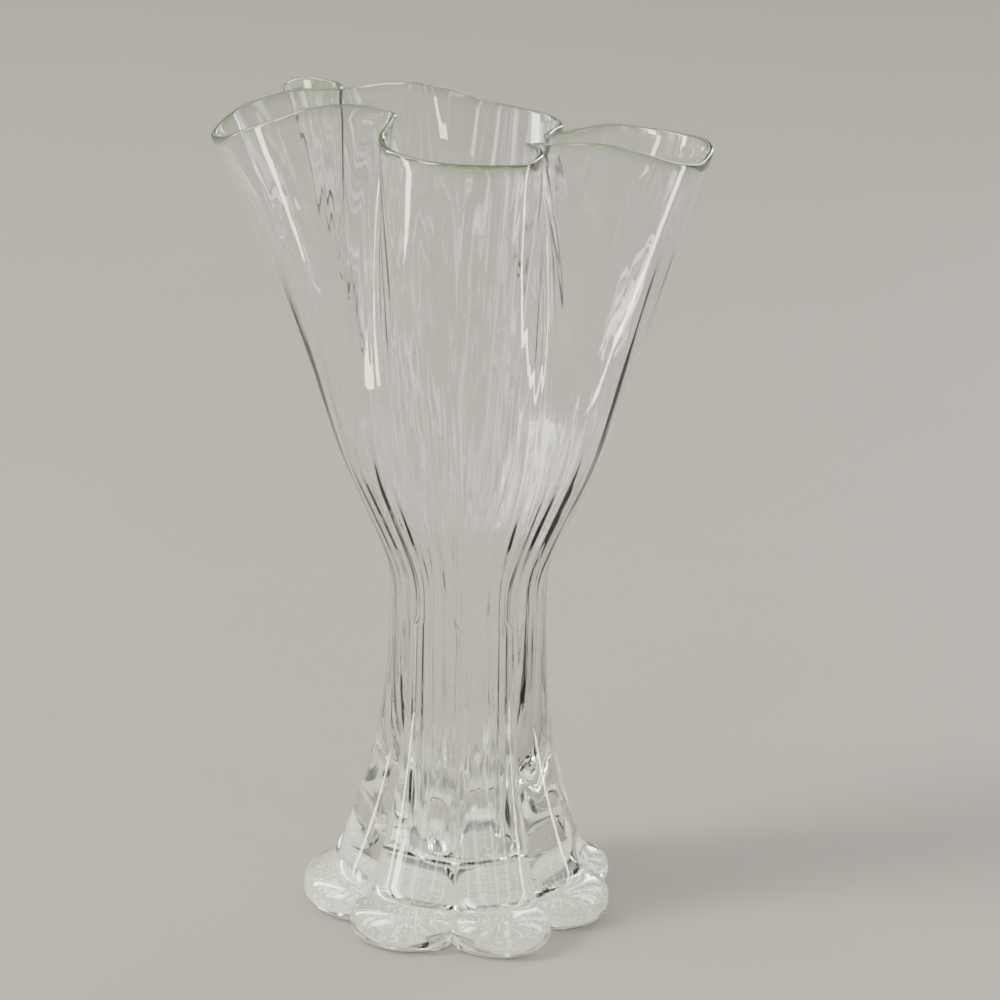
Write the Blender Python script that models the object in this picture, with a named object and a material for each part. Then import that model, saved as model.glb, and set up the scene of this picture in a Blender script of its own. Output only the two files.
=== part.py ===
"""Clear blown-glass vase with a petal foot, a ribbed neck and a ruffled rim, as one closed body.

The origin is the centre of the flat underside on the table, +Z is up and -Y is the front.
Lengths are metres. Azimuths are degrees from the front, growing towards +X.
"""
import math

import bmesh
import bpy
import numpy as np

# Overall sizes
HEIGHT = 0.305
RIM_REACH = 0.089
RUFFLE_DROP = 0.020
NECK_HEIGHT = 0.116
NECK_RADIUS = 0.0295
STEM_FOOT_RADIUS = 0.0515
FOOT_REACH = 0.0625
FOOT_HEIGHT = 0.0165

# Hollow and wall sizes
FLOOR_HEIGHT = 0.016
FLOOR_ROUND = 0.006
HOLLOW_RADIUS = 0.0225
NECK_WALL = 0.0046
BOWL_WALL = 0.0026
RIM_WALL = 0.0022

# Depth of the groove between two ribs, from the pads of the foot up to the neck and inside the hollow
PAD_GROOVE = 0.0150
STEM_GROOVE = 0.0085
NECK_GROOVE = 0.0016
HOLLOW_GROOVE = 0.0016

# Pads of the foot: azimuth of each groove, depth of that groove as a share, and the reach of the
# pad that follows it as a share of the foot's
PADS = [
    (-109.0, 0.85, 0.98),
    (-48.5, 0.95, 1.06),
    (-3.5, 0.93, 1.09),
    (39.0, 1.40, 0.94),
    (88.0, 0.90, 0.92),
    (130.0, 1.00, 0.95),
    (171.0, 1.00, 0.96),
    (211.0, 1.00, 0.93),
]

# Rim edge, once round: azimuth, reach as a share of the rim's, drop as a share of the ruffles'
RIM = [
    # Left ruffle and the fold at its front
    (-106, 0.97, 0.36),
    (-99, 1.03, 0.56),
    (-89, 1.07, 0.80),
    (-80, 1.03, 0.77),
    (-69, 0.96, 0.50),
    (-60, 0.89, 0.26),
    (-53, 0.78, 0.03),
    (-46, 0.63, 0.00),
    (-39, 0.54, 0.10),
    # Front ruffle and the fold at its right
    (-35, 0.60, 0.22),
    (-32, 0.70, 0.38),
    (-27, 0.79, 0.50),
    (-18, 0.89, 0.60),
    (-6, 0.97, 0.66),
    (5, 0.96, 0.68),
    (13, 0.91, 0.67),
    (19, 0.79, 0.61),
    (23, 0.65, 0.56),
    (26, 0.50, 0.58),
    (31, 0.43, 0.62),
    # Right ruffle and the fold at its back
    (40, 0.52, 0.60),
    (47, 0.67, 0.58),
    (54, 0.80, 0.71),
    (62, 0.88, 0.90),
    (72, 0.93, 1.00),
    (85, 0.95, 0.89),
    (97, 0.94, 0.80),
    (109, 0.90, 0.81),
    (121, 0.83, 0.79),
    (131, 0.73, 0.76),
    (137, 0.59, 0.84),
    (142, 0.49, 0.90),
    # Back ruffle and the shallow fold at its left
    (148, 0.59, 0.92),
    (152, 0.76, 0.90),
    (160, 0.92, 0.86),
    (171, 0.98, 0.76),
    (180, 0.96, 0.62),
    (189, 0.90, 0.38),
    (198, 0.85, 0.25),
    # Back left ruffle and the fold at its left
    (205, 0.94, 0.28),
    (212, 1.06, 0.42),
    (222, 1.13, 0.46),
    (229, 1.11, 0.33),
    (231, 1.01, 0.13),
    (231, 0.88, 0.07),
    (232, 0.76, 0.10),
    (236, 0.72, 0.16),
    (243, 0.85, 0.19),
]

# Bowl outline: height as a share of the way from neck to rim, then radius as a share of that way
BOWL = [
    (0.00, 0.000),
    (0.08, 0.010),
    (0.14, 0.070),
    (0.21, 0.163),
    (0.32, 0.312),
    (0.53, 0.518),
    (0.84, 0.832),
    (1.00, 1.000),
]

# Pad outline: height as a share of the foot's, then how much of the pad's bulge is out
PAD = [
    (0.00, 0.62),
    (0.09, 0.84),
    (0.25, 0.97),
    (0.45, 1.00),
    (0.65, 0.92),
    (0.82, 0.68),
    (0.94, 0.32),
    (1.00, 0.00),
]

# Where the surfaces are divided, as shares of each height, and columns round the body
PAD_ROWS = [0.00, 0.09, 0.25, 0.45, 0.65, 0.82, 0.94]
STEM_ROWS = [0.00, 0.08, 0.20, 0.36, 0.56, 0.78]
BOWL_ROWS = [0.00, 0.08, 0.14, 0.22, 0.32, 0.43, 0.54, 0.65, 0.76, 0.86, 0.94, 1.00]
HOLLOW_ROWS = [0.16, 0.40, 0.70]
RIM_ROUND_STEPS = 4
FLOOR_ROWS = [(0.35, 0.00), (0.72, 0.07), (0.92, 0.38), (1.00, 1.00)]
COLUMNS_PER_PAD = 14
COLUMN_CROWD = 0.6

# Shape of the curves: the pads are round petals with a narrow cleft at each groove, lower at the cleft
STEM_POWER = 2.2
PETAL_POWER = 2.0
CLEFT_POWER = 9.0
CLEFT_SHARE = 0.25
PAD_DIP = 0.22
RIB_POWER = 4.5
FOLD_START = 0.26
FOLD_POWER = 1.6
RIB_END = 0.45
BEND_SHARE = 0.6

# Sizes that follow from those above
COLUMNS = COLUMNS_PER_PAD * len(PADS)
RIM_TOP = HEIGHT - 0.5 * RIM_WALL
RIM_MEAN = RIM_TOP - 0.5 * RUFFLE_DROP
GLASS = (0.93, 0.96, 0.94, 1.0)


def ease(x):
    """Smooth step from 0 to 1."""
    x = np.clip(x, 0.0, 1.0)
    return x * x * (3 - 2 * x)


def through(xs, ys, x):
    """Smooth curve through the points xs, ys, read at x."""
    xs = np.asarray(xs, float)
    ys = np.asarray(ys, float)
    slopes = np.gradient(ys, xs)
    x = np.clip(x, xs[0], xs[-1])
    i = np.clip(np.searchsorted(xs, x, side="right") - 1, 0, len(xs) - 2)
    step = xs[i + 1] - xs[i]
    s = (x - xs[i]) / step
    start = (1 + 2 * s) * (1 - s) ** 2 * ys[i] + s * (1 - s) ** 2 * step * slopes[i]
    end = s * s * (3 - 2 * s) * ys[i + 1] + s * s * (s - 1) * step * slopes[i + 1]
    return start + end


def ring(azimuth, radius, height):
    """Closed ring of points from azimuths in degrees, radii and heights."""
    a = np.radians(azimuth)
    flat = radius + 0 * a
    return np.stack([flat * np.sin(a), -flat * np.cos(a), height + 0 * a], axis=-1)


def rim_line():
    """Outer line of the rim edge, one point a column, closer together where it bends."""
    azimuth, reach, drop = np.array(RIM, float).T
    knots = ring(azimuth, reach * RIM_REACH, RIM_TOP - drop * RUFFLE_DROP)
    wrapped = np.concatenate([knots[-3:], knots, knots[:4]])
    gaps = np.sqrt(np.linalg.norm(np.diff(wrapped, axis=0), axis=1))
    along = np.concatenate([[0.0], np.cumsum(gaps)])
    fine = np.linspace(along[3], along[3 + len(knots)], 4001)
    line = np.stack([through(along, wrapped[:, k], fine) for k in range(3)], axis=-1)
    steps = np.diff(line, axis=0)
    lengths = np.linalg.norm(steps, axis=1)
    heading = np.unwrap(np.arctan2(steps[:, 1], steps[:, 0]))
    turns = np.abs(np.diff(heading, append=heading[0] + 2 * np.pi))
    weight = lengths / lengths.sum() + BEND_SHARE * turns / turns.sum()
    measure = np.concatenate([[0.0], np.cumsum(weight)])
    wanted = measure[-1] * np.arange(COLUMNS) / COLUMNS
    return np.stack([np.interp(wanted, measure, line[:, k]) for k in range(3)], axis=-1)


def pad_azimuths():
    """Azimuths of the columns at the foot: one in every groove, and closer together near it."""
    starts = [p[0] for p in PADS] + [PADS[0][0] + 360.0]
    across = 2 * (np.arange(COLUMNS) % COLUMNS_PER_PAD) / COLUMNS_PER_PAD - 1
    crowded = across + COLUMN_CROWD * (np.sin(math.pi / 2 * across) - across)
    pad = np.arange(COLUMNS) // COLUMNS_PER_PAD
    return np.interp(pad + (crowded + 1) / 2, range(len(starts)), starts)


def bowl_azimuths(rim):
    """Azimuths of the columns in the bowl, which follow those of the rim loosely."""
    azimuth = np.degrees(np.unwrap(np.arctan2(rim[:, 0], -rim[:, 1])))
    even = PADS[0][0] + 360.0 * np.arange(COLUMNS) / COLUMNS
    off = azimuth - even
    off -= 360.0 * np.round(off.mean() / 360.0)
    for _ in range(3 * COLUMNS_PER_PAD):
        off = (np.roll(off, 1) + off + np.roll(off, -1)) / 3
    return even + off


def groove(azimuth, lift):
    """Depth of the grooves from 0 on a rib to about 1: round petals at lift 0, narrow grooves at 1."""
    starts = np.array([p[0] for p in PADS] + [PADS[0][0] + 360.0])
    depths = np.array([p[1] for p in PADS] + [PADS[0][1]])
    turned = (azimuth - starts[0]) % 360.0 + starts[0]
    i = np.clip(np.searchsorted(starts, turned, side="right") - 1, 0, len(PADS) - 1)
    across = 2 * (turned - starts[i]) / (starts[i + 1] - starts[i]) - 1
    across = np.abs(across)
    petal = (1 - CLEFT_SHARE) * across ** PETAL_POWER + CLEFT_SHARE * across ** CLEFT_POWER
    narrow = across ** RIB_POWER
    return (petal + (narrow - petal) * lift) * np.interp(turned, starts, depths)


def pad_reach():
    """Reach share of the pad that each column belongs to, evened out across the grooves."""
    reach = np.repeat([p[2] for p in PADS], COLUMNS_PER_PAD)
    for _ in range(COLUMNS_PER_PAD):
        reach = (np.roll(reach, 1) + reach + np.roll(reach, -1)) / 3
    return reach


def pad_ring(share):
    """Ring of the foot at a share of its height."""
    azimuth = pad_azimuths()
    bulge = through(*zip(*PAD), share)
    depth = PAD_GROOVE + (STEM_GROOVE - PAD_GROOVE) * ease(share)
    ridge = pad_reach() * (STEM_FOOT_RADIUS + (FOOT_REACH - STEM_FOOT_RADIUS) * bulge)
    petal = groove(azimuth, 0.0)
    return ring(azimuth, ridge - depth * petal, share * FOOT_HEIGHT * (1 - PAD_DIP * petal))


def stem_ring(share, bowl_azimuth):
    """Ring of the stem at a share of the way from the foot up to the neck."""
    azimuth = pad_azimuths()
    azimuth = azimuth + (bowl_azimuth - azimuth) * ease(share)
    left = (1 - share) ** STEM_POWER
    ridge = NECK_RADIUS + (pad_reach() * STEM_FOOT_RADIUS - NECK_RADIUS) * left
    depth = NECK_GROOVE + (STEM_GROOVE - NECK_GROOVE) * left
    base = FOOT_HEIGHT * (1 - PAD_DIP * groove(azimuth, 0.0))
    height = base + (NECK_HEIGHT - base) * share
    return ring(azimuth, ridge - depth * groove(azimuth, ease(share)), height)


def bowl_ring(share, bowl_azimuth, rim):
    """Ring of the bowl at a share of the way from the neck up to the rim."""
    radius = NECK_RADIUS + (RIM_REACH - NECK_RADIUS) * through(*zip(*BOWL), share)
    depth = NECK_GROOVE * (1 - ease(share / RIB_END))
    fold = max(0.0, (share - FOLD_START) / (1 - FOLD_START)) ** FOLD_POWER
    height = NECK_HEIGHT + (RIM_MEAN - NECK_HEIGHT) * share
    ribs = depth * groove(bowl_azimuth, 1.0)
    round_ring = ring(bowl_azimuth, radius - ribs, height)
    rim_ring = rim * [radius / RIM_REACH, radius / RIM_REACH, 1.0]
    rim_ring[:, 2] += height - RIM_MEAN
    return round_ring + (rim_ring - round_ring) * fold


def outward(rings):
    """Unit directions out of a stack of rings, and the directions up along it."""
    around = np.roll(rings, -1, axis=1) - np.roll(rings, 1, axis=1)
    up = np.gradient(rings, axis=0)
    out = np.cross(around, up)
    out /= np.linalg.norm(out, axis=-1, keepdims=True)
    up -= out * (up * out).sum(axis=-1, keepdims=True)
    up /= np.linalg.norm(up, axis=-1, keepdims=True)
    return out, up


def all_rings():
    """Every ring of the body, from the underside up the outside and down the inside."""
    rim = rim_line()
    azimuth = bowl_azimuths(rim)
    outside = [pad_ring(share) for share in PAD_ROWS]
    outside += [stem_ring(share, azimuth) for share in STEM_ROWS]
    bowl = np.stack([bowl_ring(share, azimuth, rim) for share in BOWL_ROWS])
    out, up = outward(bowl)
    rows = np.array(BOWL_ROWS)
    wall = RIM_WALL + (BOWL_WALL - RIM_WALL) * (1 - rows)
    wall += (NECK_WALL - BOWL_WALL) * (1 - ease(rows / 0.3))
    inside = bowl - out * wall[:, None, None]
    edge = []
    for step in range(1, RIM_ROUND_STEPS):
        angle = math.pi * step / RIM_ROUND_STEPS
        middle = (bowl[-1] + inside[-1]) / 2
        turn = math.cos(angle) * out[-1] + math.sin(angle) * up[-1]
        edge.append(middle + turn * RIM_WALL / 2)
    hollow = []
    base = FLOOR_HEIGHT + FLOOR_ROUND
    for share in HOLLOW_ROWS:
        radius = HOLLOW_RADIUS + (NECK_RADIUS - NECK_WALL - HOLLOW_RADIUS) * ease(share)
        depth = HOLLOW_GROOVE * groove(azimuth, 1.0)
        hollow.append(ring(azimuth, radius - depth, base + (NECK_HEIGHT - base) * share))
    floor = []
    for radius_share, height_share in FLOOR_ROWS:
        depth = HOLLOW_GROOVE * groove(azimuth, 1.0)
        radius = (HOLLOW_RADIUS - depth) * radius_share
        floor.append(ring(azimuth, radius, FLOOR_HEIGHT + FLOOR_ROUND * height_share))
    return outside + list(bowl) + edge + list(inside[::-1]) + hollow[::-1] + floor[::-1]


def build_body(mesh):
    """Join the rings into one closed body."""
    shape = bmesh.new()
    rows = [[shape.verts.new(point) for point in row] for row in all_rings()]
    for low, high in zip(rows, rows[1:]):
        for i in range(COLUMNS):
            j = (i + 1) % COLUMNS
            shape.faces.new((low[i], low[j], high[j], high[i]))
    under = shape.verts.new((0, 0, 0))
    floor = shape.verts.new((0, 0, FLOOR_HEIGHT))
    for i in range(COLUMNS):
        j = (i + 1) % COLUMNS
        shape.faces.new((under, rows[0][j], rows[0][i]))
        shape.faces.new((floor, rows[-1][i], rows[-1][j]))
    for face in shape.faces:
        face.smooth = True
    shape.to_mesh(mesh)
    shape.free()


def glass_material():
    """Clear colourless glass with a faint green tint."""
    material = bpy.data.materials.new("clear_glass")
    material.use_nodes = True
    shader = material.node_tree.nodes["Principled BSDF"]
    shader.inputs["Base Color"].default_value = GLASS
    shader.inputs["Roughness"].default_value = 0.02
    shader.inputs["Metallic"].default_value = 0.0
    shader.inputs["IOR"].default_value = 1.52
    shader.inputs["Transmission Weight"].default_value = 1.0
    material.diffuse_color = GLASS
    return material


for old in list(bpy.data.objects):
    bpy.data.objects.remove(old, do_unlink=True)
collection = bpy.data.collections.new("ruffled_glass_vase")
bpy.context.scene.collection.children.link(collection)
vase_mesh = bpy.data.meshes.new("vase")
build_body(vase_mesh)
vase_mesh.materials.append(glass_material())
vase = bpy.data.objects.new("vase", vase_mesh)
collection.objects.link(vase)
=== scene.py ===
"""Ruffled clear-glass vase: the finished look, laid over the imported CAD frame.

The glass body is rebuilt finely from the sizes of the CAD model, with the small waves, flow lines
and seed bubbles of hand-blown glass. Lengths are metres and azimuths are degrees from the front.
"""
import math

import bmesh
import bpy
import numpy as np
from mathutils import Matrix, Vector


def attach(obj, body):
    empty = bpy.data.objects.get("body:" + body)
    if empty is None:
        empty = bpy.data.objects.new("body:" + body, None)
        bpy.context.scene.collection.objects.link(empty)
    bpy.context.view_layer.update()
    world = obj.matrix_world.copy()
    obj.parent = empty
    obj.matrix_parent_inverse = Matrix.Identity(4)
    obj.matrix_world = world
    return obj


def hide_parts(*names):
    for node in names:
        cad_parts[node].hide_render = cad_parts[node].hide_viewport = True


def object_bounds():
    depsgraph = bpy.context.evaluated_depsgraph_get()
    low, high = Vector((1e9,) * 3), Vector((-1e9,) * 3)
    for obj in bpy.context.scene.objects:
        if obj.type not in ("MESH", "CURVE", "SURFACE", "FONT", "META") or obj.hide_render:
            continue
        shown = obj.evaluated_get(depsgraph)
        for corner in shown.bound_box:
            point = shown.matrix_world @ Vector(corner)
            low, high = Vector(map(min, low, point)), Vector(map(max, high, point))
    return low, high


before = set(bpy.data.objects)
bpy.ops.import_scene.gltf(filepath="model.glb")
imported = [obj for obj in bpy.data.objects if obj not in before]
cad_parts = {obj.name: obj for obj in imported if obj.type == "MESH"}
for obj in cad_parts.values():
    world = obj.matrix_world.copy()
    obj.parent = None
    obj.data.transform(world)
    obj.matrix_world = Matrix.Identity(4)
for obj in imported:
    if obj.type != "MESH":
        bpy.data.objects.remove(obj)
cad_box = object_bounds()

bl_info = {
    "name": "Ruffled glass vase",
    "version": (1, 0, 0),
    "blender": (4, 5, 0),
    "location": "3D View > Sidebar > Glass vase",
    "description": "Builds a clear blown-glass vase with a petal foot and a ruffled rim",
    "category": "Add Mesh",
}

# Overall sizes, the same as in the CAD model
HEIGHT = 0.305
RIM_REACH = 0.089
RUFFLE_DROP = 0.020
NECK_HEIGHT = 0.116
NECK_RADIUS = 0.0295
STEM_FOOT_RADIUS = 0.0515
FOOT_REACH = 0.0625
FOOT_HEIGHT = 0.0165

# Hollow and wall sizes
FLOOR_HEIGHT = 0.016
FLOOR_ROUND = 0.006
HOLLOW_RADIUS = 0.0225
NECK_WALL = 0.0046
BOWL_WALL = 0.0026
RIM_WALL = 0.0022

# Depth of the groove between two ribs
PAD_GROOVE = 0.0150
STEM_GROOVE = 0.0085
NECK_GROOVE = 0.0016
HOLLOW_GROOVE = 0.0016

# Pads of the foot: azimuth of each groove, its depth share, reach share of the pad after it
PADS = [
    (-109.0, 0.85, 0.98),
    (-48.5, 0.95, 1.06),
    (-3.5, 0.93, 1.09),
    (39.0, 1.40, 0.94),
    (88.0, 0.90, 0.92),
    (130.0, 1.00, 0.95),
    (171.0, 1.00, 0.96),
    (211.0, 1.00, 0.93),
]

# Rim edge, once round: azimuth, reach share, drop share
RIM = [
    (-106, 0.97, 0.36), (-99, 1.03, 0.56), (-89, 1.07, 0.80), (-80, 1.03, 0.77),
    (-69, 0.96, 0.50), (-60, 0.89, 0.26), (-53, 0.78, 0.03), (-46, 0.63, 0.00),
    (-39, 0.54, 0.10), (-35, 0.60, 0.22), (-32, 0.70, 0.38), (-27, 0.79, 0.50),
    (-18, 0.89, 0.60), (-6, 0.97, 0.66), (5, 0.96, 0.68), (13, 0.91, 0.67),
    (19, 0.79, 0.61), (23, 0.65, 0.56), (26, 0.50, 0.58), (31, 0.43, 0.62),
    (40, 0.52, 0.60), (47, 0.67, 0.58), (54, 0.80, 0.71), (62, 0.88, 0.90),
    (72, 0.93, 1.00), (85, 0.95, 0.89), (97, 0.94, 0.80), (109, 0.90, 0.81),
    (121, 0.83, 0.79), (131, 0.73, 0.76), (137, 0.59, 0.84), (142, 0.49, 0.90),
    (148, 0.59, 0.92), (152, 0.76, 0.90), (160, 0.92, 0.86), (171, 0.98, 0.76),
    (180, 0.96, 0.62), (189, 0.90, 0.38), (198, 0.85, 0.25), (205, 0.94, 0.28),
    (212, 1.06, 0.42), (222, 1.13, 0.46), (229, 1.11, 0.33), (231, 1.01, 0.13),
    (231, 0.88, 0.07), (232, 0.76, 0.10), (236, 0.72, 0.16), (243, 0.85, 0.19),
]

# Bowl outline (height share, radius share) and pad outline (height share, bulge share)
BOWL = [
    (0.00, 0.000), (0.08, 0.010), (0.14, 0.070), (0.21, 0.163),
    (0.32, 0.312), (0.53, 0.518), (0.84, 0.832), (1.00, 1.000),
]
PAD = [
    (0.00, 0.62), (0.09, 0.84), (0.25, 0.97), (0.45, 1.00),
    (0.65, 0.92), (0.82, 0.68), (0.94, 0.32), (1.00, 0.00),
]
FLOOR = [(0.00, 0.00), (0.35, 0.00), (0.72, 0.07), (0.92, 0.38), (1.00, 1.00)]

# Shape of the curves
STEM_POWER = 2.2
PETAL_POWER = 2.0
CLEFT_POWER = 9.0
CLEFT_SHARE = 0.25
PAD_DIP = 0.22
RIB_POWER = 4.5
COLUMN_CROWD = 0.6
FOLD_START = 0.26
FOLD_POWER = 1.6
RIB_END = 0.45
BEND_SHARE = 0.6

# Shares of the bowl's height over which the neck's thick wall thins out, and of the hollow's height
# between its lowest and highest ring; the least share of the floor's radius
NECK_WALL_END = 0.3
HOLLOW_LOWEST = 0.03
HOLLOW_HIGHEST = 0.96
FLOOR_LEAST = 0.04

# How finely the surfaces are divided
COLUMNS_PER_PAD = 64
CAD_COLUMNS_PER_PAD = 14
PAD_ROW_COUNT = 20
STEM_ROW_COUNT = 26
BOWL_ROW_COUNT = 50
HOLLOW_ROW_COUNT = 20
FLOOR_ROW_COUNT = 16
RIM_ROUND_STEPS = 8
RIM_LINE_STEPS = 4000
AZIMUTH_SMOOTHINGS = 3

# Sizes that follow from those above
COLUMNS = COLUMNS_PER_PAD * len(PADS)
SMOOTHING = round(CAD_COLUMNS_PER_PAD * (COLUMNS_PER_PAD / CAD_COLUMNS_PER_PAD) ** 2)
RIM_TOP = HEIGHT - 0.5 * RIM_WALL
RIM_MEAN = RIM_TOP - 0.5 * RUFFLE_DROP

# Waves in the wall's thickness: waves once round, waves from neck to rim, share of the depth, phase
WALL_WAVES = [
    (9, 0.35, 0.15, 0.4),
    (17, -0.25, 0.22, 2.1),
    (26, 0.30, 0.26, 4.4),
    (37, -0.20, 0.24, 1.2),
    (53, 0.15, 0.13, 3.3),
]

# How much stronger the waves are at the neck and in the hollow, the shares of the bowl's height over
# which they settle and then fade out at the rim, and where in the hollow's height they start to grow
NECK_WAVES = 2.4
WAVES_SETTLE = 0.35
WAVES_FADE = 0.1
HOLLOW_WAVES_START = 0.1
HOLLOW_WAVES_RISE = 0.7

# Radius that the flow lines are laid out on once round, and the rows either side of the rim's middle
# that carry the full painted green glow, and over which the painted glow then fades
FLOW_RADIUS = 0.06
RIM_GLOW_ROWS = 2.5
RIM_GLOW_FADE = 3.0

# Seed bubbles: column share once round, height, radius, stretch along the wall
BUBBLES = [
    (0.30, 0.258, 0.00042, 1.7),
    (0.18, 0.212, 0.00035, 1.4),
    (0.46, 0.176, 0.00030, 2.0),
    (0.62, 0.240, 0.00038, 1.5),
    (0.83, 0.201, 0.00032, 1.8),
    (0.07, 0.165, 0.00028, 1.6),
    (0.95, 0.262, 0.00036, 1.5),
    (0.54, 0.268, 0.00030, 1.3),
]

# Gap that keeps the floor from touching the underside, and the darker of its two shades as a share
FLOOR_GAP = 0.0002
FLOOR_SHADE = 0.96

# Lights: name, azimuth, elevation, distance, width and height, watts, colour. The key and the ceiling
# light the floor; the rest only make the upright streaks, and the strips show in reflections alone.
KEY_LIGHT = ("window_left", -70, 36, 6.0, (1.35, 4.5), 660, "fff6ea")
STREAK_LIGHTS = [
    ("window_back_left", -118, 34, 2.0, (0.28, 2.2), 62, "fff6ea"),
    ("window_right", 104, 38, 2.2, (0.12, 2.4), 24, "f2f5ff"),
    ("window_back", 158, 34, 2.2, (0.20, 2.0), 36, "f2f5ff"),
    ("strip_left", -84, 8.5, 0.46, (0.045, 0.39), 1.7, "fff3d2"),
    ("strip_right", 86, 6.0, 0.34, (0.035, 0.32), 1.0, "fff6de"),
]
CEILING_LIGHT = ("ceiling", 180, 88, 5.0, (9.0, 9.0), 230, "ffffff")

# Camera, matched to the outline in the photograph: place, degrees that it looks down, degrees of roll
CAMERA_PLACE = (0.0108, -1.0706, 0.4352)
CAMERA_DOWN = 14.64
CAMERA_ROLL = 1.19

# Sockets of a Mix node for colours, several of which share a name, and the white of untinted glass
MIX_SHARE, MIX_A, MIX_B, MIX_RESULT = 0, 6, 7, 2
WHITE = "ffffff"


def ease(x):
    """Smooth step from 0 to 1."""
    x = np.clip(x, 0.0, 1.0)
    return x * x * (3 - 2 * x)


def through(xs, ys, x):
    """Smooth curve through the points xs, ys, read at x."""
    xs = np.asarray(xs, float)
    ys = np.asarray(ys, float)
    slopes = np.gradient(ys, xs)
    x = np.clip(x, xs[0], xs[-1])
    i = np.clip(np.searchsorted(xs, x, side="right") - 1, 0, len(xs) - 2)
    step = xs[i + 1] - xs[i]
    s = (x - xs[i]) / step
    start = (1 + 2 * s) * (1 - s) ** 2 * ys[i] + s * (1 - s) ** 2 * step * slopes[i]
    end = s * s * (3 - 2 * s) * ys[i + 1] + s * s * (s - 1) * step * slopes[i + 1]
    return start + end


def ring(azimuth, radius, height):
    """Closed ring of points from azimuths in degrees, radii and heights."""
    a = np.radians(azimuth)
    flat = radius + 0 * a
    return np.stack([flat * np.sin(a), -flat * np.cos(a), height + 0 * a], axis=-1)


def smoothed(values, times):
    """Values once round, evened out with their neighbours a number of times."""
    for _ in range(times):
        values = (np.roll(values, 1) + values + np.roll(values, -1)) / 3
    return values


def rim_line():
    """Outer line of the rim edge, one point a column, closer together where it bends."""
    azimuth, reach, drop = np.array(RIM, float).T
    knots = ring(azimuth, reach * RIM_REACH, RIM_TOP - drop * RUFFLE_DROP)
    wrapped = np.concatenate([knots[-3:], knots, knots[:4]])
    gaps = np.sqrt(np.linalg.norm(np.diff(wrapped, axis=0), axis=1))
    along = np.concatenate([[0.0], np.cumsum(gaps)])
    fine = np.linspace(along[3], along[3 + len(knots)], RIM_LINE_STEPS + 1)
    line = np.stack([through(along, wrapped[:, k], fine) for k in range(3)], axis=-1)
    steps = np.diff(line, axis=0)
    lengths = np.linalg.norm(steps, axis=1)
    heading = np.unwrap(np.arctan2(steps[:, 1], steps[:, 0]))
    turns = np.abs(np.diff(heading, append=heading[0] + 2 * np.pi))
    weight = lengths / lengths.sum() + BEND_SHARE * turns / turns.sum()
    measure = np.concatenate([[0.0], np.cumsum(weight)])
    wanted = measure[-1] * np.arange(COLUMNS) / COLUMNS
    return np.stack([np.interp(wanted, measure, line[:, k]) for k in range(3)], axis=-1)


def pad_azimuths():
    """Azimuths of the columns at the foot: one in every groove, and closer together near it."""
    starts = [p[0] for p in PADS] + [PADS[0][0] + 360.0]
    across = 2 * (np.arange(COLUMNS) % COLUMNS_PER_PAD) / COLUMNS_PER_PAD - 1
    crowded = across + COLUMN_CROWD * (np.sin(math.pi / 2 * across) - across)
    pad = np.arange(COLUMNS) // COLUMNS_PER_PAD
    return np.interp(pad + (crowded + 1) / 2, range(len(starts)), starts)


def bowl_azimuths(rim):
    """Azimuths of the columns in the bowl, which follow those of the rim loosely."""
    azimuth = np.degrees(np.unwrap(np.arctan2(rim[:, 0], -rim[:, 1])))
    even = PADS[0][0] + 360.0 * np.arange(COLUMNS) / COLUMNS
    off = azimuth - even
    off -= 360.0 * np.round(off.mean() / 360.0)
    return even + smoothed(off, AZIMUTH_SMOOTHINGS * SMOOTHING)


def groove(azimuth, lift):
    """Depth of the grooves from 0 on a rib to about 1: round petals at lift 0, narrow grooves at 1."""
    starts = np.array([p[0] for p in PADS] + [PADS[0][0] + 360.0])
    depths = np.array([p[1] for p in PADS] + [PADS[0][1]])
    turned = (azimuth - starts[0]) % 360.0 + starts[0]
    i = np.clip(np.searchsorted(starts, turned, side="right") - 1, 0, len(PADS) - 1)
    across = 2 * (turned - starts[i]) / (starts[i + 1] - starts[i]) - 1
    across = np.abs(across)
    petal = (1 - CLEFT_SHARE) * across ** PETAL_POWER + CLEFT_SHARE * across ** CLEFT_POWER
    narrow = across ** RIB_POWER
    return (petal + (narrow - petal) * lift) * np.interp(turned, starts, depths)


def pad_reach():
    """Reach share of the pad that each column belongs to, evened out across the grooves."""
    return smoothed(np.repeat([p[2] for p in PADS], COLUMNS_PER_PAD), SMOOTHING)


def pad_ring(share):
    """Ring of the foot at a share of its height."""
    azimuth = pad_azimuths()
    bulge = through(*zip(*PAD), share)
    depth = PAD_GROOVE + (STEM_GROOVE - PAD_GROOVE) * ease(share)
    ridge = pad_reach() * (STEM_FOOT_RADIUS + (FOOT_REACH - STEM_FOOT_RADIUS) * bulge)
    petal = groove(azimuth, 0.0)
    return ring(azimuth, ridge - depth * petal, share * FOOT_HEIGHT * (1 - PAD_DIP * petal))


def stem_ring(share, bowl_azimuth):
    """Ring of the stem at a share of the way from the foot up to the neck."""
    azimuth = pad_azimuths()
    azimuth = azimuth + (bowl_azimuth - azimuth) * ease(share)
    left = (1 - share) ** STEM_POWER
    ridge = NECK_RADIUS + (pad_reach() * STEM_FOOT_RADIUS - NECK_RADIUS) * left
    depth = NECK_GROOVE + (STEM_GROOVE - NECK_GROOVE) * left
    base = FOOT_HEIGHT * (1 - PAD_DIP * groove(azimuth, 0.0))
    height = base + (NECK_HEIGHT - base) * share
    return ring(azimuth, ridge - depth * groove(azimuth, ease(share)), height)


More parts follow.
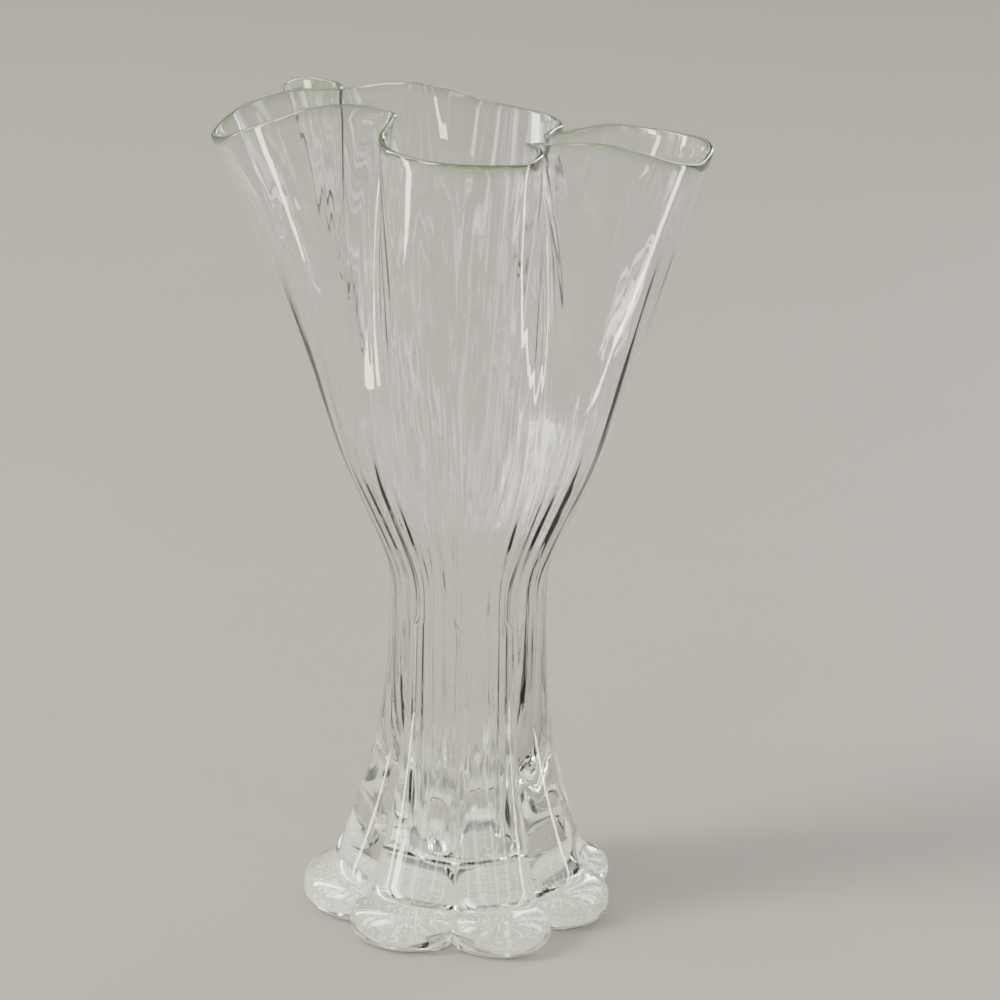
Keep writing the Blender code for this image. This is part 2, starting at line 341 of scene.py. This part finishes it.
def bowl_ring(share, bowl_azimuth, rim):
    """Ring of the bowl at a share of the way from the neck up to the rim."""
    radius = NECK_RADIUS + (RIM_REACH - NECK_RADIUS) * through(*zip(*BOWL), share)
    depth = NECK_GROOVE * (1 - ease(share / RIB_END))
    fold = max(0.0, (share - FOLD_START) / (1 - FOLD_START)) ** FOLD_POWER
    height = NECK_HEIGHT + (RIM_MEAN - NECK_HEIGHT) * share
    ribs = depth * groove(bowl_azimuth, 1.0)
    round_ring = ring(bowl_azimuth, radius - ribs, height)
    rim_ring = rim * [radius / RIM_REACH, radius / RIM_REACH, 1.0]
    rim_ring[:, 2] += height - RIM_MEAN
    return round_ring + (rim_ring - round_ring) * fold


def outward(rings):
    """Unit directions out of a stack of rings, and the directions up along it."""
    around = np.roll(rings, -1, axis=1) - np.roll(rings, 1, axis=1)
    up = np.gradient(rings, axis=0)
    out = np.cross(around, up)
    out /= np.linalg.norm(out, axis=-1, keepdims=True)
    up -= out * (up * out).sum(axis=-1, keepdims=True)
    up /= np.linalg.norm(up, axis=-1, keepdims=True)
    return out, up


def wall_wave(rows):
    """Unevenness of the blown wall, about -1 to 1, for each row and column of the bowl."""
    column = np.arange(COLUMNS) / COLUMNS
    wave = np.zeros((len(rows), COLUMNS))
    for round_count, up_count, depth, phase in WALL_WAVES:
        wave += depth * np.sin(2 * math.pi * (round_count * column + up_count * rows[:, None]) + phase)
    strength = NECK_WAVES + (1 - NECK_WAVES) * ease(rows / WAVES_SETTLE)
    return wave * (strength * ease((1 - rows) / WAVES_FADE))[:, None]


def bowl_walls(wave_depth):
    """Outside and inside of the bowl, with the directions out of and up it."""
    rim = rim_line()
    azimuth = bowl_azimuths(rim)
    rows = np.linspace(0, 1, BOWL_ROW_COUNT)
    outside = np.stack([bowl_ring(share, azimuth, rim) for share in rows])
    out, up = outward(outside)
    wall = RIM_WALL + (BOWL_WALL - RIM_WALL) * (1 - rows)
    wall += (NECK_WALL - BOWL_WALL) * (1 - ease(rows / NECK_WALL_END))
    thickness = wall[:, None] + wave_depth * wall_wave(rows)
    inside = outside - out * thickness[:, :, None]
    return azimuth, outside, inside, out, up


def box_fit(points):
    """Scales that bring the body inside the CAD model's box, which its finer curves would just pass."""
    low, high = (np.array(list(corner)) for corner in cad_box)
    flat = points.reshape(-1, 3)
    fit = high / flat.max(axis=0)
    fit[:2] = np.minimum(fit[:2], low[:2] / flat.min(axis=0)[:2])
    return fit


def all_rings(wave_depth):
    """Every ring of the body, from the underside up the outside and down the inside."""
    azimuth, outside, inside, out, up = bowl_walls(wave_depth)
    rings = [pad_ring(share) for share in np.linspace(0, 1, PAD_ROW_COUNT, endpoint=False)]
    rings += [stem_ring(share, azimuth) for share in np.linspace(0, 1, STEM_ROW_COUNT, endpoint=False)]
    rings += list(outside)
    for step in range(1, RIM_ROUND_STEPS):
        angle = math.pi * step / RIM_ROUND_STEPS
        turn = math.cos(angle) * out[-1] + math.sin(angle) * up[-1]
        rings.append((outside[-1] + inside[-1]) / 2 + turn * RIM_WALL / 2)
    rings += list(inside[::-1])
    depth = HOLLOW_GROOVE * groove(azimuth, 1.0)
    wave = wave_depth * wall_wave(np.zeros(1))[0]
    base = FLOOR_HEIGHT + FLOOR_ROUND
    for share in np.linspace(HOLLOW_HIGHEST, HOLLOW_LOWEST, HOLLOW_ROW_COUNT):
        radius = HOLLOW_RADIUS + (NECK_RADIUS - NECK_WALL - HOLLOW_RADIUS) * ease(share)
        inner = radius - depth - wave * ease((share - HOLLOW_WAVES_START) / HOLLOW_WAVES_RISE)
        rings.append(ring(azimuth, inner, base + (NECK_HEIGHT - base) * share))
    for share in np.linspace(1.0, FLOOR_LEAST, FLOOR_ROW_COUNT):
        rise = FLOOR_ROUND * through(*zip(*FLOOR), share)
        rings.append(ring(azimuth, (HOLLOW_RADIUS - depth) * share, FLOOR_HEIGHT + rise))
    rings = np.stack(rings)
    return rings * box_fit(rings)


def linear(hex_colour):
    """Linear colour with alpha 1 from an sRGB hex colour such as d9d6cf."""
    parts = [int(hex_colour[k:k + 2], 16) / 255 for k in (0, 2, 4)]
    return [c / 12.92 if c <= 0.04045 else ((c + 0.055) / 1.055) ** 2.4 for c in parts] + [1.0]


def node(tree, kind, settings=None, values=None, links=None):
    """A new node, with its settings, the values of its sockets and what is linked to them."""
    made = tree.nodes.new(kind)
    for name, value in (settings or {}).items():
        setattr(made, name, value)
    for name, value in (values or {}).items():
        made.inputs[name].default_value = value
    for name, source in (links or {}).items():
        tree.links.new(source, made.inputs[name])
    return made


def empty_tree(owner):
    """The node tree of a material or world, without its nodes."""
    owner.use_nodes = True
    owner.node_tree.nodes.clear()
    return owner.node_tree


def end_glass(tree, shader, settings):
    """Output of a glass: its surface, and the iron that takes out red and blue along a long path."""
    tint = node(tree, "ShaderNodeVolumeAbsorption",
                values={"Color": (*settings.tint, 1.0), "Density": settings.tint_density})
    node(tree, "ShaderNodeOutputMaterial",
         links={"Surface": shader.outputs["BSDF"], "Volume": tint.outputs["Volume"]})


def polished_glass(settings):
    """Clear soda-lime glass, fire-polished: colourless across the wall and green along the sheet, with a
    green glow painted along the rim.
    """
    material = bpy.data.materials.new("clear soda-lime glass, hand blown and fire polished")
    tree = empty_tree(material)
    flow = node(tree, "ShaderNodeAttribute", {"attribute_name": "flow"}).outputs["Vector"]
    # Flow lines: streaks 4 mm wide and 400 mm long, drawn out as the gather was blown and swung
    streaks = node(tree, "ShaderNodeMapping", values={"Scale": (250, 250, 2.5)}, links={"Vector": flow})
    streak = node(tree, "ShaderNodeTexNoise", values={"Scale": 1.0, "Detail": 1.5, "Roughness": 0.4},
                  links={"Vector": streaks.outputs["Vector"]})
    # Soft swirls about 20 mm across and 60 mm long, where the wall set unevenly
    swirls = node(tree, "ShaderNodeMapping", values={"Scale": (50, 50, 16)}, links={"Vector": flow})
    swirl = node(tree, "ShaderNodeTexNoise", values={"Scale": 1.0, "Detail": 1.0, "Distortion": 0.8},
                 links={"Vector": swirls.outputs["Vector"]})
    both = node(tree, "ShaderNodeMath", {"operation": "MULTIPLY_ADD"}, {1: 2.0},
                {0: swirl.outputs["Fac"], 2: streak.outputs["Fac"]})
    # The foot was pressed in a mould and is smooth; the flow lines start in the stem above it
    height = node(tree, "ShaderNodeSeparateXYZ", links={"Vector": flow})
    blown = node(tree, "ShaderNodeMapRange", {"interpolation_type": "SMOOTHSTEP"},
                 {"From Min": 0.03, "From Max": 0.10}, {"Value": height.outputs["Z"]})
    bump = node(tree, "ShaderNodeBump", values={"Distance": settings.streak_depth},
                links={"Height": both.outputs["Value"], "Strength": blown.outputs["Result"]})
    # The rim gathers light that has run along the wall, so it looks greener than the wall itself; that
    # green glow is painted into the base colour along the rim, and the rim lets a little less light
    # through
    edge = node(tree, "ShaderNodeAttribute", {"attribute_name": "rim"}).outputs["Fac"]
    colour = node(tree, "ShaderNodeMix", {"data_type": "RGBA"}, links={MIX_SHARE: edge})
    colour.inputs[MIX_A].default_value = linear(WHITE)
    colour.inputs[MIX_B].default_value = (*settings.painted_rim_glow, 1.0)
    clear = node(tree, "ShaderNodeMapRange", values={"To Min": 1.0, "To Max": 0.8},
                 links={"Value": edge})
    # Barely seen haze: the polish differs a little along the streaks
    haze = node(tree, "ShaderNodeMapRange",
                values={"From Min": 0.4, "From Max": 0.8, "To Min": 0.0, "To Max": 0.02},
                links={"Value": streak.outputs["Fac"]})
    shader = node(tree, "ShaderNodeBsdfPrincipled", values={"IOR": settings.ior},
                  links={"Base Color": colour.outputs[MIX_RESULT], "Roughness": haze.outputs["Result"],
                         "Normal": bump.outputs["Normal"],
                         "Transmission Weight": clear.outputs["Result"]})
    end_glass(tree, shader, settings)
    return material


def ground_glass(settings):
    """Ground underside: a matt white face with sandy grit, some grains painted white as glints that
    glitter through the pads.
    """
    material = bpy.data.materials.new("soda-lime glass, underside ground on a wheel")
    tree = empty_tree(material)
    place = node(tree, "ShaderNodeTexCoord").outputs["Object"]
    # Grit of 0.5 mm, of which every fifth grain glitters: its glint is painted white into the colour,
    # and it is a little smoother; coarser than the real 0.2 mm so that it reads
    grit = node(tree, "ShaderNodeTexVoronoi", values={"Scale": 2000.0}, links={"Vector": place})
    grain = node(tree, "ShaderNodeSeparateColor", links={"Color": grit.outputs["Color"]})
    painted_glint = node(tree, "ShaderNodeMapRange", values={"From Min": 0.76, "From Max": 0.84},
                 links={"Value": grain.outputs["Red"]})
    # Clouds about 3 mm across, where the wheel cut a little deeper
    cloud = node(tree, "ShaderNodeTexNoise", values={"Scale": 350.0, "Detail": 4.0, "Roughness": 0.7},
                 links={"Vector": place})
    milk = node(tree, "ShaderNodeMix", {"data_type": "RGBA"}, links={MIX_SHARE: cloud.outputs["Fac"]})
    milk.inputs[MIX_A].default_value = linear("a5a795")
    milk.inputs[MIX_B].default_value = linear("dddece")
    # Painted glints: each glittering grain is painted white over the clouded colour
    colour = node(tree, "ShaderNodeMix", {"data_type": "RGBA"},
                  links={MIX_SHARE: painted_glint.outputs["Result"], MIX_A: milk.outputs[MIX_RESULT]})
    colour.inputs[MIX_B].default_value = linear(WHITE)
    # The pads and the middle touched the wheel; a ring 30 mm from the middle stayed clear and polished
    reach = node(tree, "ShaderNodeVectorMath", {"operation": "LENGTH"}, links={0: place})
    past = node(tree, "ShaderNodeMath", {"operation": "SUBTRACT"}, {1: 0.030},
                {0: reach.outputs["Value"]})
    away = node(tree, "ShaderNodeMath", {"operation": "ABSOLUTE"}, links={0: past.outputs["Value"]})
    ground = node(tree, "ShaderNodeMapRange", {"interpolation_type": "SMOOTHSTEP"},
                  {"From Min": 0.003, "From Max": 0.007}, {"Value": away.outputs["Value"]})
    rough = node(tree, "ShaderNodeMapRange", values={"To Min": 0.55, "To Max": 0.3},
                 links={"Value": painted_glint.outputs["Result"]})
    roughness = node(tree, "ShaderNodeMath", {"operation": "MULTIPLY"},
                     links={0: rough.outputs["Result"], 1: ground.outputs["Result"]})
    clear = node(tree, "ShaderNodeMapRange", values={"To Min": 1.0, "To Max": 0.12},
                 links={"Value": ground.outputs["Result"]})
    face = node(tree, "ShaderNodeMix", {"data_type": "RGBA"},
                links={MIX_SHARE: ground.outputs["Result"], MIX_B: colour.outputs[MIX_RESULT]})
    face.inputs[MIX_A].default_value = linear(WHITE)
    shader = node(tree, "ShaderNodeBsdfPrincipled", values={"IOR": settings.ior},
                  links={"Base Color": face.outputs[MIX_RESULT], "Roughness": roughness.outputs["Value"],
                         "Transmission Weight": clear.outputs["Result"]})
    end_glass(tree, shader, settings)
    return material


def bubble_air(settings):
    """Air in a seed bubble, seen from the glass round it."""
    material = bpy.data.materials.new("air in a seed bubble")
    tree = empty_tree(material)
    place = node(tree, "ShaderNodeTexCoord").outputs["Object"]
    # Dimples of 0.4 mm, about as wide as a bubble, so that each one glints a little differently
    dimple = node(tree, "ShaderNodeTexNoise", values={"Scale": 2500.0}, links={"Vector": place})
    bump = node(tree, "ShaderNodeBump", values={"Strength": 0.2, "Distance": 0.00005},
                links={"Height": dimple.outputs["Fac"]})
    shader = node(tree, "ShaderNodeBsdfPrincipled",
                  values={"Base Color": linear(WHITE), "Roughness": 0.0, "Transmission Weight": 1.0,
                          "IOR": 1.0 / settings.ior},
                  links={"Normal": bump.outputs["Normal"]})
    node(tree, "ShaderNodeOutputMaterial", links={"Surface": shader.outputs["BSDF"]})
    return material


def pale_board(settings):
    """Floor: pale matt painted board with faint rolled mottling."""
    material = bpy.data.materials.new("pale matt painted board")
    tree = empty_tree(material)
    place = node(tree, "ShaderNodeTexCoord").outputs["Object"]
    # Mottling about 170 mm across, much coarser than a real roller leaves, so that it shows at all
    mottle = node(tree, "ShaderNodeTexNoise", values={"Scale": 6.0, "Detail": 3.0},
                  links={"Vector": place})
    colour = node(tree, "ShaderNodeMix", {"data_type": "RGBA"}, links={MIX_SHARE: mottle.outputs["Fac"]})
    colour.inputs[MIX_A].default_value = [FLOOR_SHADE * c for c in settings.floor_colour] + [1.0]
    colour.inputs[MIX_B].default_value = (*settings.floor_colour, 1.0)
    shader = node(tree, "ShaderNodeBsdfPrincipled", values={"Roughness": 0.7, "Specular IOR Level": 0.1},
                  links={"Base Color": colour.outputs[MIX_RESULT]})
    node(tree, "ShaderNodeOutputMaterial", links={"Surface": shader.outputs["BSDF"]})
    return material


def add_object(context, name, shape, materials):
    """A new object in the scene from a finished bmesh, with its materials in order."""
    mesh = bpy.data.meshes.new(name)
    shape.to_mesh(mesh)
    shape.free()
    for material in materials:
        mesh.materials.append(material)
    made = bpy.data.objects.new(name, mesh)
    context.scene.collection.objects.link(made)
    return made


class GlassSettings(bpy.types.PropertyGroup):
    """Sizes and colours of the glass."""
    wave_depth: bpy.props.FloatProperty(
        name="Wall waves", description="How much the blown wall's thickness varies either way",
        default=0.0003, min=0.0, max=0.0006, precision=5, subtype="DISTANCE", unit="LENGTH")
    streak_depth: bpy.props.FloatProperty(
        name="Streak depth", description="Height of the fine flow lines in the surface",
        default=0.00012, min=0.0, max=0.001, precision=6, subtype="DISTANCE", unit="LENGTH")
    bubble_scale: bpy.props.FloatProperty(
        name="Bubble size", description="Size of the seed bubbles, as a share of the usual one",
        default=1.0, min=0.2, max=1.6, subtype="FACTOR")
    ior: bpy.props.FloatProperty(
        name="Index of refraction", description="1.52 for soda-lime glass",
        default=1.52, min=1.3, max=1.8)
    tint: bpy.props.FloatVectorProperty(
        name="Tint", description="Colour left after light has crossed the glass",
        default=linear("bfd6a4")[:3], size=3, min=0.0, max=1.0, subtype="COLOR")
    tint_density: bpy.props.FloatProperty(
        name="Tint density", description="Strength of the tint for each metre of glass",
        default=3.0, min=0.0, max=200.0)
    painted_rim_glow: bpy.props.FloatVectorProperty(
        name="Painted rim glow",
        description="Colour of the light that leaves at the rim after its long way along the wall",
        default=linear("7f9a6c")[:3], size=3, min=0.0, max=1.0, subtype="COLOR")


class StageSettings(bpy.types.PropertyGroup):
    """Floor, light and camera."""
    floor_colour: bpy.props.FloatVectorProperty(
        name="Floor colour", description="Colour of the painted board that the vase stands on",
        default=linear("86837c")[:3], size=3, min=0.0, max=1.0, subtype="COLOR")
    floor_reach: bpy.props.FloatProperty(
        name="Floor reach", description="Radius of the floor",
        default=12.0, min=2.0, subtype="DISTANCE", unit="LENGTH")
    light_power: bpy.props.FloatProperty(
        name="Light power", description="Strength of the studio lights as a share of the usual",
        default=1.0, min=0.0)
    lens: bpy.props.FloatProperty(
        name="Lens", description="Focal length on a 36 mm sensor, in millimetres",
        default=108.0, min=10.0, subtype="DISTANCE_CAMERA", unit="CAMERA")


class OBJECT_OT_glass_body(bpy.types.Operator):
    """Build the blown-glass body: foot, stem, bowl and ruffled rim in one skin"""
    bl_idname = "object.glass_vase_body"
    bl_label = "Glass body"

    def execute(self, context):
        settings = context.scene.glass_settings
        rings = all_rings(settings.wave_depth)
        shape = bmesh.new()
        flow = shape.verts.layers.float_vector.new("flow")
        # rim: share of the painted green glow, full along the rim's middle and fading below it
        rim = shape.verts.layers.float.new("rim")
        lengths = np.linalg.norm(np.diff(rings, axis=0), axis=-1).mean(axis=1)
        along = np.concatenate([[0.0], np.cumsum(lengths)])
        turn = 2 * math.pi * np.arange(COLUMNS) / COLUMNS
        top = PAD_ROW_COUNT + STEM_ROW_COUNT + BOWL_ROW_COUNT + RIM_ROUND_STEPS / 2 - 1
        rows = []
        for count, (height, points) in enumerate(zip(along, rings)):
            row = [shape.verts.new(point) for point in points]
            for vert, angle in zip(row, turn):
                vert[flow] = (FLOW_RADIUS * math.sin(angle), FLOW_RADIUS * math.cos(angle), height)
                vert[rim] = float(1 - ease((abs(count - top) - RIM_GLOW_ROWS) / RIM_GLOW_FADE))
            rows.append(row)
        for low, high in zip(rows, rows[1:]):
            for i in range(COLUMNS):
                j = (i + 1) % COLUMNS
                shape.faces.new((low[i], low[j], high[j], high[i]))
        under = shape.verts.new((0, 0, 0))
        floor = shape.verts.new((0, 0, FLOOR_HEIGHT))
        for i in range(COLUMNS):
            j = (i + 1) % COLUMNS
            ground = shape.faces.new((under, rows[0][j], rows[0][i]))
            ground.material_index = 1
            shape.faces.new((floor, rows[-1][i], rows[-1][j]))
        for face in shape.faces:
            face.smooth = True
        for i in range(COLUMNS):
            shape.edges.get((rows[0][i], rows[0][(i + 1) % COLUMNS])).smooth = False
        materials = (polished_glass(settings), ground_glass(settings))
        body = add_object(context, "glass_body", shape, materials)
        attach(body, "root")
        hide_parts("vase")
        return {"FINISHED"}


class OBJECT_OT_seed_bubbles(bpy.types.Operator):
    """Build the few seed bubbles that are caught in the wall of the bowl"""
    bl_idname = "object.glass_vase_bubbles"
    bl_label = "Seed bubbles"

    def execute(self, context):
        settings = context.scene.glass_settings
        _, outside, inside, out, up = bowl_walls(settings.wave_depth)
        middle = (outside + inside) / 2
        shape = bmesh.new()
        for column_share, height, radius, stretch in BUBBLES:
            i = int(column_share * COLUMNS)
            row = int(np.argmin(np.abs(middle[:, i, 2] - height)))
            across = Vector(out[row, i])
            along = Vector(up[row, i])
            size = radius * settings.bubble_scale
            frame_of = Matrix((across.cross(along), across, along)).transposed().to_4x4()
            stretched = frame_of @ Matrix.Diagonal((size, size, size * stretch, 1.0))
            bmesh.ops.create_icosphere(shape, subdivisions=3, radius=1.0,
                                       matrix=Matrix.Translation(Vector(middle[row, i])) @ stretched)
        for face in shape.faces:
            face.smooth = True
        bubbles = add_object(context, "seed_bubbles", shape, (bubble_air(settings),))
        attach(bubbles, "root")
        return {"FINISHED"}


def area_light(context, power, name, azimuth, elevation, distance, size, watts, colour):
    """A rectangular soft light that faces the middle of the vase and isn't seen by the camera."""
    light = bpy.data.lights.new(name, "AREA")
    light.shape = "RECTANGLE"
    light.size, light.size_y = size
    light.energy = watts * power
    light.color = linear(colour)[:3]
    a, e = math.radians(azimuth), math.radians(elevation)
    away = Vector((math.sin(a) * math.cos(e), -math.cos(a) * math.cos(e), math.sin(e)))
    placed = bpy.data.objects.new(name, light)
    placed.location = Vector((0, 0, HEIGHT / 2)) + away * distance
    placed.rotation_euler = away.to_track_quat("Z", "Y").to_euler()
    placed.visible_camera = False
    context.scene.collection.objects.link(placed)
    return placed


class SCENE_OT_stage(bpy.types.Operator):
    """Set the pale floor, the soft studio light and the camera at the photograph's angle"""
    bl_idname = "scene.glass_vase_stage"
    bl_label = "Stage"

    def execute(self, context):
        settings = context.scene.stage_settings
        shape = bmesh.new()
        bmesh.ops.create_circle(shape, cap_ends=True, segments=96, radius=settings.floor_reach,
                                matrix=Matrix.Translation((0, 0, -FLOOR_GAP)))
        floor = add_object(context, "floor", shape, (pale_board(settings),))

        area_light(context, settings.light_power, *KEY_LIGHT)
        for row in STREAK_LIGHTS:
            light = area_light(context, settings.light_power, *row)
            light.visible_diffuse = False
            light.visible_transmission = not light.name.startswith("strip")
        # Seen in the glass, so large a light would lay a milky veil over it
        ceiling = area_light(context, settings.light_power, *CEILING_LIGHT)
        ceiling.visible_glossy = False

        # Studio walls: pale at the horizon, and above it soft upright light panels with dark gaps
        world = bpy.data.worlds.new("studio")
        context.scene.world = world
        tree = empty_tree(world)
        way = node(tree, "ShaderNodeTexCoord").outputs["Generated"]
        height = node(tree, "ShaderNodeSeparateXYZ", links={"Vector": way})
        rise = node(tree, "ShaderNodeMapRange", {"interpolation_type": "SMOOTHSTEP"},
                    {"From Min": 0.12, "From Max": 0.30}, {"Value": height.outputs["Z"]})
        level = node(tree, "ShaderNodeMapping", values={"Scale": (1, 1, 0)}, links={"Vector": way})
        bearing = node(tree, "ShaderNodeVectorMath", {"operation": "NORMALIZE"},
                       links={0: level.outputs["Vector"]})
        spread = node(tree, "ShaderNodeTexNoise", values={"Scale": 5.0, "Detail": 1.0},
                      links={"Vector": bearing.outputs["Vector"]})
        panel = node(tree, "ShaderNodeMapRange", {"interpolation_type": "SMOOTHSTEP"},
                     {"From Min": 0.50, "From Max": 0.59, "To Min": 0.03, "To Max": 6.5},
                     {"Value": spread.outputs["Fac"]})
        # A Mix node for numbers: its sockets 0, 2 and 3 are the share and the two numbers
        strength = node(tree, "ShaderNodeMix", {"data_type": "FLOAT"}, {2: 0.48},
                        {0: rise.outputs["Result"], 3: panel.outputs["Result"]})
        background = node(tree, "ShaderNodeBackground", values={"Color": linear("fbf9f4")},
                          links={"Strength": strength.outputs[0]})
        node(tree, "ShaderNodeOutputWorld", links={"Surface": background.outputs["Background"]})

        camera = bpy.data.objects.new("camera", bpy.data.cameras.new("camera"))
        camera.data.sensor_width = 36.0
        camera.data.lens = settings.lens
        camera.data.clip_end = 50.0
        pitch = Matrix.Rotation(math.radians(90 - CAMERA_DOWN), 4, "X")
        roll = Matrix.Rotation(math.radians(CAMERA_ROLL), 4, "Z")
        camera.matrix_world = Matrix.Translation(CAMERA_PLACE) @ pitch @ roll
        context.scene.collection.objects.link(camera)
        context.scene.camera = camera
        return {"FINISHED"}


class VIEW3D_PT_glass_vase(bpy.types.Panel):
    """Lists the pieces of the vase with their settings"""
    bl_label = "Glass vase"
    bl_space_type = "VIEW_3D"
    bl_region_type = "UI"
    bl_category = "Glass vase"

    def draw(self, context):
        layout = self.layout
        for kind, group in ((GlassSettings, context.scene.glass_settings),
                            (StageSettings, context.scene.stage_settings)):
            for name in kind.__annotations__:
                layout.prop(group, name)
        layout.operator("object.glass_vase_body")
        layout.operator("object.glass_vase_bubbles")
        layout.operator("scene.glass_vase_stage")


CLASSES = (GlassSettings, StageSettings, OBJECT_OT_glass_body, OBJECT_OT_seed_bubbles, SCENE_OT_stage,
           VIEW3D_PT_glass_vase)


def register():
    """Add the classes, and their settings to the scene."""
    for made in CLASSES:
        bpy.utils.register_class(made)
    bpy.types.Scene.glass_settings = bpy.props.PointerProperty(type=GlassSettings)
    bpy.types.Scene.stage_settings = bpy.props.PointerProperty(type=StageSettings)


def unregister():
    """Take away what register added."""
    del bpy.types.Scene.stage_settings
    del bpy.types.Scene.glass_settings
    for made in reversed(CLASSES):
        bpy.utils.unregister_class(made)


def main():
    """Build every piece and the stage."""
    register()
    bpy.ops.object.glass_vase_body()
    bpy.ops.object.glass_vase_bubbles()
    bpy.ops.scene.glass_vase_stage()


if __name__ == "__main__":
    main()
